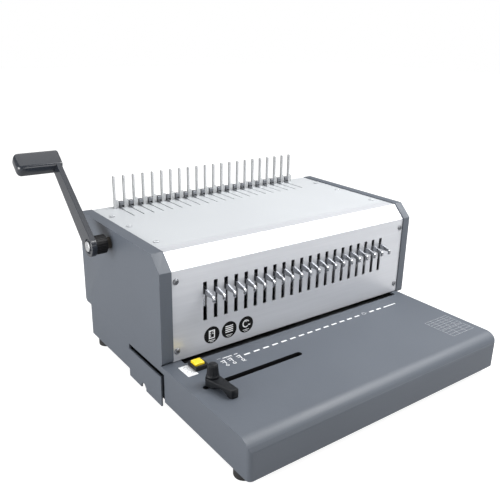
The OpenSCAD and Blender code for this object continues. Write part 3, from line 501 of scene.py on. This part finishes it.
next_corner, next_along = (corner + 1) % 4, (along + 1) % strip_round
quads = np.stack([corner * strip_round + along, next_corner * strip_round + along,
                  next_corner * strip_round + next_along, corner * strip_round + next_along],
                 -1).reshape(-1, 4)
strip_mesh = bpy.data.meshes.new("slot_shade_lining")
strip_mesh.from_pydata(row(strip.reshape(-1, 3)).tolist(), [], quads.tolist())
strip_mesh.materials.append(PLAIN["black_plastic"])
slot_shade_band = put_object("slot_shade_lining", strip_mesh)
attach(slot_shade_band, HOUSE)


# ---------------------------------------------------------------- pull tabs
# Bright spring-steel strips: straight inside the head, then drooping to a tightly curled front end.
PITCH = (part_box("pull_02")[0].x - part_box("pull_01")[0].x) * 1000
HOLE_COUNT = 21
HOLES = [(i - HOLE_COUNT // 2) * PITCH for i in range(HOLE_COUNT)]
PULL_WIDE = (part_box("pull_01")[1].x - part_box("pull_01")[0].x) * 1000
PULL_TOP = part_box("pull_01")[1].z * 1000
PULL_EDGE = 0.35
pull_steel = PLAIN["pull_steel"]


def smooth_path(points, count):
    """A Catmull-Rom curve through given points, as an array."""
    p = np.asarray(points, float)
    p = np.vstack([2 * p[0] - p[1], p, 2 * p[-1] - p[-2]])
    out = []
    for a, b, c, d in zip(p[:-3], p[1:-2], p[2:-1], p[3:]):
        t = np.linspace(0, 1, count, endpoint=False)[:, None]
        out.append(0.5 * (2 * b + (c - a) * t + (2 * a - 5 * b + 4 * c - d) * t ** 2
                          + (3 * b - a - 3 * c + d) * t ** 3))
    return np.vstack([*out, p[-2:-1]])


def extruded(name, outline, x0, x1, material, width):
    """A plate cut to a side-view outline (y, z) between two x planes, with rounded edges."""
    count = len(outline)
    points = [(x, y, z) for x in (x0, x1) for y, z in outline]
    faces = [list(range(count))[::-1], list(range(count, 2 * count))]
    faces += [[i, (i + 1) % count, count + (i + 1) % count, count + i] for i in range(count)]
    mesh = bpy.data.meshes.new(name)
    mesh.from_pydata([tuple(p / 1000 for p in q) for q in points], [], faces)
    rework(mesh, face_outwards)
    mesh.materials.append(material)
    shade(mesh, CUT_ANGLE)
    piece = put_object(name, mesh)
    round_edges(piece, width)
    return piece


top_line = smooth_path([(16.5, 0), (6, 0), (-2, -0.1), (-9, -1.6), (-15, -3.3), (-18.2, -4.9), (-19.3, -7.4),
                        (-18.7, -10), (-17, -10.9)], 5)
under_line = smooth_path([(-17, -10.9), (-15.9, -10.2), (-16.2, -8.9), (-16.4, -7.6), (-14.6, -6.9),
                          (-9, -7.3), (-2, -7.4), (6, -7.4), (16.5, -7.4)], 5)
tab_outline = np.vstack([top_line, under_line[1:]])
tab = extruded("pull_tab_01", tab_outline, -PULL_WIDE / 2, PULL_WIDE / 2, pull_steel, PULL_EDGE)
for number, hole in enumerate(HOLES, 1):
    if number > 1:
        tab = put_object("pull_tab_%02d" % number, tab.data)
        round_edges(tab, PULL_EDGE)
    tab.location = row([hole, 0, PULL_TOP])
    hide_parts("pull_%02d" % number)
    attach(tab, "pull_%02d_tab" % number)

# ---------------------------------------------------------------- hook heads
# Each head is a grey pressed cap. The black block under it stands just off the cover and is painted shade
# beneath the head.
HEAD_LOW, HEAD_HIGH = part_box("hook_heads")
HEAD_WIDE = HEAD_HIGH.x - HEAD_LOW.x - (HOLE_COUNT - 1) * PITCH / 1000
HEAD_SPLIT = 0.34
# How far the black block of painted shade stands in from the cap at its sides and ends, and runs up into it,
# in metres
SIDE_IN, END_IN, UP_INTO = 0.0003, 0.0004, 0.0005
hook_cap = finish("hook_cap", (0.115, 0.12, 0.135), (0.24, 0.25, 0.27), (0.25, 0.45), 1400, 300, metallic=0.5)


def rows_of_boxes(name, corners, material, width):
    """One mesh of many rounded boxes, each given by its lowest and highest corner in row metres."""
    shape = bmesh.new()
    for low, high in corners:
        size = Vector(high) - Vector(low)
        place = Matrix.Translation((Vector(low) + Vector(high)) / 2) @ Matrix.Diagonal((*size, 1))
        bmesh.ops.create_cube(shape, size=1, matrix=place)
    mesh = bpy.data.meshes.new(name)
    shape.to_mesh(mesh)
    shape.free()
    mesh.materials.append(material)
    shade(mesh, CUT_ANGLE)
    piece = put_object(name, mesh)
    round_edges(piece, width, 3)
    return piece


split = HEAD_LOW.z + (HEAD_HIGH.z - HEAD_LOW.z) * HEAD_SPLIT
lefts = [HEAD_LOW.x + i * PITCH / 1000 for i in range(HOLE_COUNT)]
# Black blocks under the grey caps: painted shade beneath each head
head_shade_blocks = rows_of_boxes("hook_shade_blocks",
                         [((x + SIDE_IN, HEAD_LOW.y + END_IN, HEAD_LOW.z),
                           (x + HEAD_WIDE - SIDE_IN, HEAD_HIGH.y - END_IN, split + UP_INTO))
                          for x in lefts], PLAIN["black_plastic"], 0.4)
caps = rows_of_boxes("hook_caps", [((x, HEAD_LOW.y, split), (x + HEAD_WIDE, HEAD_HIGH.y, HEAD_HIGH.z))
                                   for x in lefts], hook_cap, 0.8)
for piece in (head_shade_blocks, caps):
    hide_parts("hook_heads")
    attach(piece, "hooks")

# ---------------------------------------------------------------- screws
# Cross-recessed pan heads, pale on the cover, bare on the front plate, and plain ones up inside the feet.
HEAD_R, HEAD_H, SHANK_R, HEAD_ROUND = 3.6, 1.8, 1.9, 0.5
RECESS_DEEP, RECESS_HALF, RECESS_LONG, RIM_POINTS = 1.0, 0.42, 2.1, 64
rim = np.linspace(0, 2 * np.pi, RIM_POINTS, endpoint=False)
radii = np.concatenate([np.linspace(0.08, HEAD_R - HEAD_ROUND, 26),
                        HEAD_R - HEAD_ROUND + HEAD_ROUND * np.sin(np.linspace(0.15, 1.57, 6))])


def screw_head():
    """Rings of a domed head, height above its seat, with a cross pressed into the crown."""
    r, a = np.meshgrid(radii, rim, indexing="ij")
    crown = HEAD_H * np.sqrt(np.clip(1 - (r / HEAD_R) ** 2 * 0.98, 0, 1)) ** 0.55
    u, v = np.abs(r * np.cos(a)), np.abs(r * np.sin(a))
    cross = np.clip((RECESS_HALF - np.minimum(u, v)) / 0.14, 0, 1) * np.clip((RECESS_LONG - r) / 0.3, 0, 1)
    return np.stack([r * np.cos(a), r * np.sin(a), crown - RECESS_DEEP * cross], -1)


def screws(name, places, direction, shank, material):
    """Heads and shanks of several screws as one piece; direction is the way the heads face."""
    facing = np.array(Vector(direction).to_track_quat("Z", "Y").to_matrix())
    flat = np.zeros(RIM_POINTS)
    skirt = np.stack([HEAD_R * np.cos(rim), HEAD_R * np.sin(rim), flat], -1)
    stem = np.stack([SHANK_R * np.cos(rim), SHANK_R * np.sin(rim), flat], -1)
    verts, faces = [], []
    for number, place in enumerate(places):
        angle = 0.7 + 1.3 * number
        cos, sin = math.cos(angle), math.sin(angle)
        head = screw_head().reshape(-1, 3) @ np.array([[cos, -sin, 0], [sin, cos, 0], [0, 0, 1]]).T
        start = sum(len(v) for v in verts)
        verts.append(np.vstack([head, skirt, stem, stem - [0, 0, shank]]) @ facing.T
                     + np.asarray(place, float))
        rings = np.arange(len(verts[-1])).reshape(-1, RIM_POINTS) + start
        nxt = np.roll(rings, -1, axis=1)
        faces += np.stack([rings[:-1], rings[1:], nxt[1:], nxt[:-1]], -1).reshape(-1, 4).tolist()
        faces += [rings[0].tolist(), rings[-1][::-1].tolist()]
    mesh = bpy.data.meshes.new(name)
    mesh.from_pydata(row(np.vstack(verts)).tolist(), [], faces)
    mesh.materials.append(material)
    shade(mesh, HEAD_ANGLE)
    piece = put_object(name, mesh)
    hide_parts("machine_screws")
    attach(piece, HOUSE)


def mirrored(spots):
    """The same spots on both sides of the machine."""
    return [(sign * x, y, z) for sign in (-1, 1) for x, y, z in spots]


cover_screw = finish("cover_screw", (0.44, 0.46, 0.48), (0.52, 0.54, 0.56), (0.25, 0.35), 900)
plate_screw = finish("plate_screw", (0.16, 0.165, 0.175), (0.30, 0.31, 0.33), (0.2, 0.35), 1500, metallic=0.9)
COVER_SCREWS = [(175.0, 52.5, COVER), (175.0, 123.0, COVER), (175.0, 173.0, COVER)]
PLATE_SCREWS = [(180.5, 0.0, DECK + 13), (180.5, 0.0, COVER - 29.6)]
FOOT_MIDDLE = 0.011
feet_low, feet_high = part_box("rubber_feet")
foot_x = [(feet_low.x + FOOT_MIDDLE - ORIGIN[0]) * 1000, (feet_high.x - FOOT_MIDDLE - ORIGIN[0]) * 1000]
foot_y = [(feet_low.y + FOOT_MIDDLE - ORIGIN[1]) * 1000, (feet_high.y - FOOT_MIDDLE - ORIGIN[1]) * 1000]
screws("cover_screws", mirrored(COVER_SCREWS), (0, 0, 1), 5, cover_screw)
screws("plate_screws", mirrored(PLATE_SCREWS), (0, -1, 0), 10, plate_screw)
screws("foot_screws", [(x, y, feet_high.z * 500) for x in foot_x for y in foot_y], (0, 0, -1), 9,
       PLAIN["bright_screw"])


# ---------------------------------------------------------------- screen print
# Thin ink a hair above the paint: a row of hole marks, a small scale and two empty grids on the deck, three
# black discs with plain pictograms on the front plate, and a white sticker beside the button.
INK, INK_FILM = 0.05, 0.03
white_ink = finish("white_ink", (0.80, 0.81, 0.82), (0.88, 0.89, 0.90), (0.4, 0.5), 1500, 60, depth=0.00001)
faint_ink = finish("faint_ink", (0.36, 0.37, 0.39), (0.50, 0.51, 0.53), (0.4, 0.5), 2500, 300, depth=0.00001)
black_ink = finish("black_ink", (0.003, 0.003, 0.003), (0.006, 0.006, 0.006), (0.5, 0.6), 1500, 60,
                   depth=0.00001, specular=0.15)


def bar(x0, y0, x1, y1):
    """A filled rectangle."""
    return [np.array([(x0, y0), (x1, y0), (x1, y1), (x0, y1)], float)]


def stroke(x0, y0, x1, y1, wide):
    """A straight line of a given width."""
    side = np.array([y0 - y1, x1 - x0], float)
    side *= wide / 2 / np.linalg.norm(side)
    a, b = np.array([x0, y0]), np.array([x1, y1])
    return [np.array([a - side, b - side, b + side, a + side])]


def ring(cx, cy, radius, wide, start=0.0, end=2 * math.pi, steps=40):
    """A circular line, whole or in part, as a strip of quads."""
    t = np.linspace(start, end, steps + 1)
    rim_in = np.stack([cx + (radius - wide / 2) * np.cos(t), cy + (radius - wide / 2) * np.sin(t)], -1)
    rim_out = np.stack([cx + (radius + wide / 2) * np.cos(t), cy + (radius + wide / 2) * np.sin(t)], -1)
    return [np.array([rim_in[i], rim_out[i], rim_out[i + 1], rim_in[i + 1]]) for i in range(steps)]


def spot(cx, cy, radius):
    """A filled disc."""
    t = np.linspace(0, 2 * np.pi, 64, endpoint=False)
    return [np.stack([cx + radius * np.cos(t), cy + radius * np.sin(t)], -1)]


def frame_lines(x0, y0, x1, y1, wide):
    """The outline of a rectangle."""
    return (bar(x0, y0, x1, y0 + wide) + bar(x0, y1 - wide, x1, y1)
            + bar(x0, y0 + wide, x0 + wide, y1 - wide) + bar(x1 - wide, y0 + wide, x1, y1 - wide))


def grid_lines(x0, y0, x1, y1, columns, lines, wide):
    """An empty table: its outline, and lines between the given numbers of columns and rows."""
    out = frame_lines(x0, y0, x1, y1, wide)
    for k in range(1, columns):
        x = x0 + (x1 - x0) * k / columns
        out += bar(x - wide / 2, y0, x + wide / 2, y1)
    for k in range(1, lines):
        y = y0 + (y1 - y0) * k / lines
        out += bar(x0, y - wide / 2, x1, y + wide / 2)
    return out


def ink_on(name, shapes, material, upright=False, lift=INK):
    """Flat shapes laid on the deck, or stood on the front plate, at a small height above the surface."""
    """Thin shapes laid on the deck, or stood on the front plate, at a small height above the surface."""
    verts, faces = [], []
    for corners in shapes:
        start = len(verts)
        for a, b in corners:
            verts.append((a, -lift, b) if upright else (a, b, DECK + lift))
        faces.append(list(range(start, start + len(corners))))
    mesh = bpy.data.meshes.new(name)
    mesh.from_pydata(row(verts).tolist(), [], faces)
    rework(mesh, weld)
    mesh.materials.append(material)
    piece = put_object(name, mesh)
    film = piece.modifiers.new("ink_film", "SOLIDIFY")
    film.thickness = INK_FILM / 1000
    film.offset = -1
    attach(piece, HOUSE)


# Hole marks along the paper's edge, with a ring in place of one of them, then a closing bar
MARK_FIRST, MARK_STEP, MARK_LONG, MARK_WIDE, MARK_Y = -104.4, 13.9, 8.3, 2.4, -30.0
MARK_COUNT, MARK_RINGED = 17, 14
marks = []
for k in range(MARK_COUNT):
    x = MARK_FIRST + k * MARK_STEP
    if k != MARK_RINGED:
        marks += bar(x - MARK_LONG / 2, MARK_Y - MARK_WIDE / 2, x + MARK_LONG / 2, MARK_Y + MARK_WIDE / 2)
marks += bar(127.4, MARK_Y - 1.3, 151, MARK_Y + 0.5)
ink_on("hole_marks", marks, white_ink)
ink_on("middle_mark", ring(MARK_FIRST + MARK_RINGED * MARK_STEP, MARK_Y + 1, 2.6, 1.0)
       + bar(86, -30.4, 88, -29.6) + bar(93, -30.4, 95, -29.6), faint_ink)

# Margin scale at the left: three settings, each a stem with a foot, under a broken line
scale = bar(-134, -23.6, -121.5, -22.2) + bar(-118, -23.4, -113.4, -22.2)
for x in (-137.0, -127.6, -115.6):
    scale += stroke(x - 3.4, -28.4, x + 2.2, -27.4, 1.3) + stroke(x - 3.2, -31.6, x + 1.6, -30.8, 0.9)
    scale += stroke(x + 1.8, -28, x + 0.4, -35.4, 1.1) + ring(x - 0.4, -38.6, 1.7, 0.8, steps=20)
ink_on("margin_scale", scale, white_ink)
ink_on("margin_scale_fine", bar(-141, -21.8, -136, -21) + bar(-131, -25.6, -122, -25)
       + bar(-118, -42, -113, -41), faint_ink)

# Black discs with pictograms: a punched sheet, a stack of sheets, and a comb's ring
DISC_R, DISC_Z = 10.7, DECK + 20.4
DISC_X = (-134.0, -109.5, -85.0)
ink_on("discs", [s for x in DISC_X for s in spot(x, DISC_Z, DISC_R)], black_ink, True)
signs = []
x, z = DISC_X[0], DISC_Z
signs += frame_lines(x - 4.2, z - 4.6, x + 4.2, z + 6.2, 1.3)
for k in range(4):
    signs += bar(x - 2.6, z - 2.4 + 2.1 * k, x - 1.2, z - 1.3 + 2.1 * k)
signs += bar(x + 0.4, z + 3.0, x + 2.6, z + 3.8) + bar(x + 0.4, z + 1.0, x + 2.6, z + 1.8)
x = DISC_X[1]
for k in range(4):
    signs += stroke(x - 5.4, z - 2.6 + 2.5 * k, x + 5.4, z - 2.6 + 2.5 * k, 1.3)
x = DISC_X[2]
signs += ring(x, z + 1.2, 4.4, 1.5, 0.5, 5.4) + bar(x + 3.2, z - 1.9, x + 6.4, z - 0.5)
signs += bar(x - 0.7, z + 3.4, x + 0.7, z + 6.6)
for x in DISC_X:
    signs += bar(x - 4.6, z - 7.2, x + 4.6, z - 6.4) + bar(x - 2.6, z - 8.9, x + 2.6, z - 8.3)
ink_on("disc_signs", signs, white_ink, True, 2 * INK)

# Sticker beside the button, with plain switch pictograms
ink_on("sticker", bar(-187.2, -36.2, -174.4, -13.0), white_ink, lift=INK * 2)
art = frame_lines(-186.2, -35.2, -175.4, -14.0, 0.5) + bar(-185.6, -22.6, -176.0, -22.2)
art += ring(-180.8, -18.3, 2.2, 0.7) + bar(-181.1, -18.4, -180.5, -15.4)
art += ring(-180.8, -27.4, 2.4, 0.7) + bar(-184, -32.4, -177.6, -31.8)
ink_on("sticker_art", art, faint_ink, lift=INK * 3)

# Empty grids at the right of the deck
grids = grid_lines(135, -120, 178, -95, 4, 5, 0.35) + grid_lines(136, -139, 178, -122, 3, 3, 0.35)
ink_on("settings_grid", grids, faint_ink)
